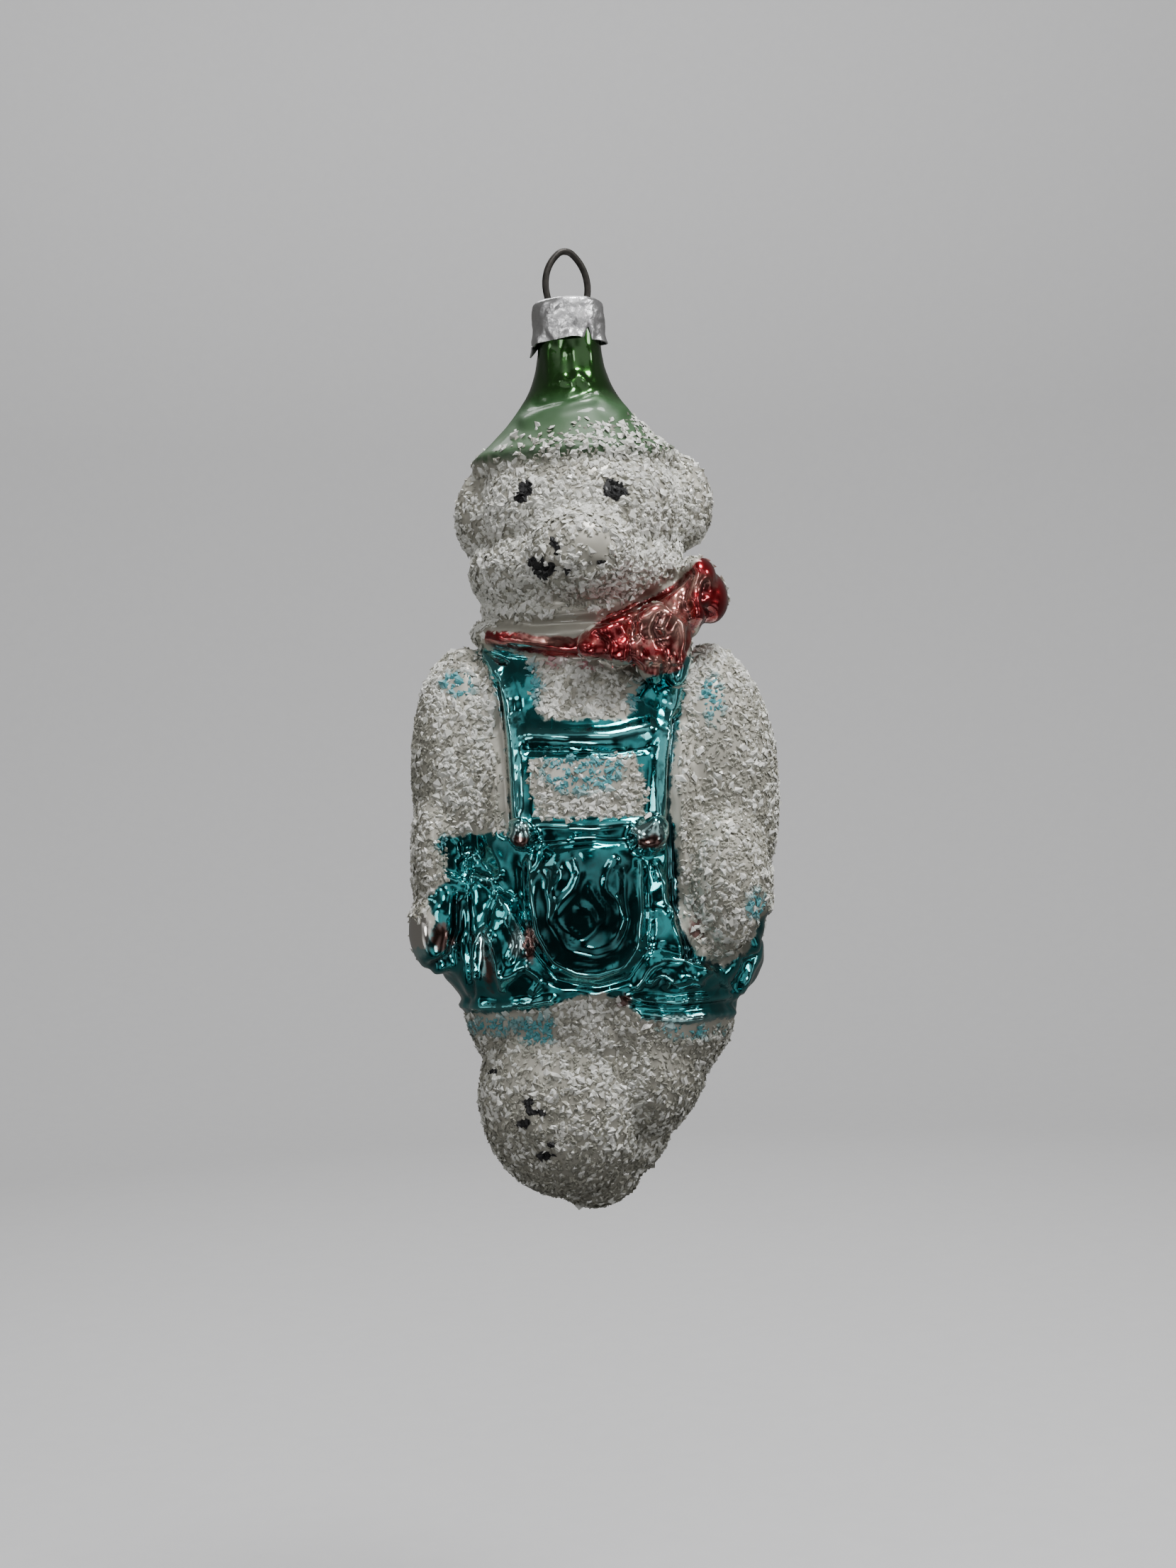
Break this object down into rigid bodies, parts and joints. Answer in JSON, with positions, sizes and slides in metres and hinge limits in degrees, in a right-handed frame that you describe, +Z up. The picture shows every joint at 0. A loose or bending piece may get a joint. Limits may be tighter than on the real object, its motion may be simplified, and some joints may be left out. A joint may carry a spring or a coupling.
{
  "type": "hanging christmas ornament",
  "caption": "Mould-blown glass tree ornament: a standing teddy bear in shorts and a neck bow, with snow-textured fur, a pressed neck cap and a spring wire hanging loop.",
  "frame": {"origin": "the hang point: where a hook bears on the inside of the wire loop's top", "axes": "+Z up from the toe to the loop as the ornament hangs; the bear faces -Y, and its own right arm is towards -X"},
  "size_m": [0.0455, 0.0304, 0.1149],
  "materials": {
    "wire_steel": "dark drawn spring wire",
    "cap_aluminium": "bright thin pressed sheet, crumpled",
    "silvered_glass": "thin blown glass, silvered inside",
    "green_lacquer": "transparent green lacquer over silvering",
    "red_lacquer": "transparent red lacquer over silvering",
    "teal_lacquer": "transparent teal lacquer over silvering",
    "glass_snow": "coarse crushed glass glued on",
    "black_paint": "black paint brushed over the snow"
  },
  "bodies": {
    "hanger": {"hanger_wire": "wire_steel"},
    "cap": {"cap": "cap_aluminium"},
    "bear": {"glass_body": "silvered_glass", "pike_lacquer": "green_lacquer", "scarf_lacquer": "red_lacquer", "shorts_lacquer": "teal_lacquer", "snow_head": "glass_snow", "snow_chest": "glass_snow", "snow_bib": "glass_snow", "snow_back": "glass_snow", "snow_arm_right": "glass_snow", "snow_arm_left": "glass_snow", "snow_legs": "glass_snow", "eye_right": "black_paint", "eye_left": "black_paint", "nose_dab": "black_paint", "mouth_dab": "black_paint", "claw_dabs": "black_paint"}
  },
  "joints": [
    {"name": "wire_slide", "type": "slide", "parent": "hanger", "child": "cap", "axis": [0, 0, 1], "range_m": [0, 0.002]},
    {"name": "cap_pull", "type": "slide", "parent": "cap", "child": "bear", "axis": [0, 0, -1], "range_m": [0, 0.016]}
  ]
}
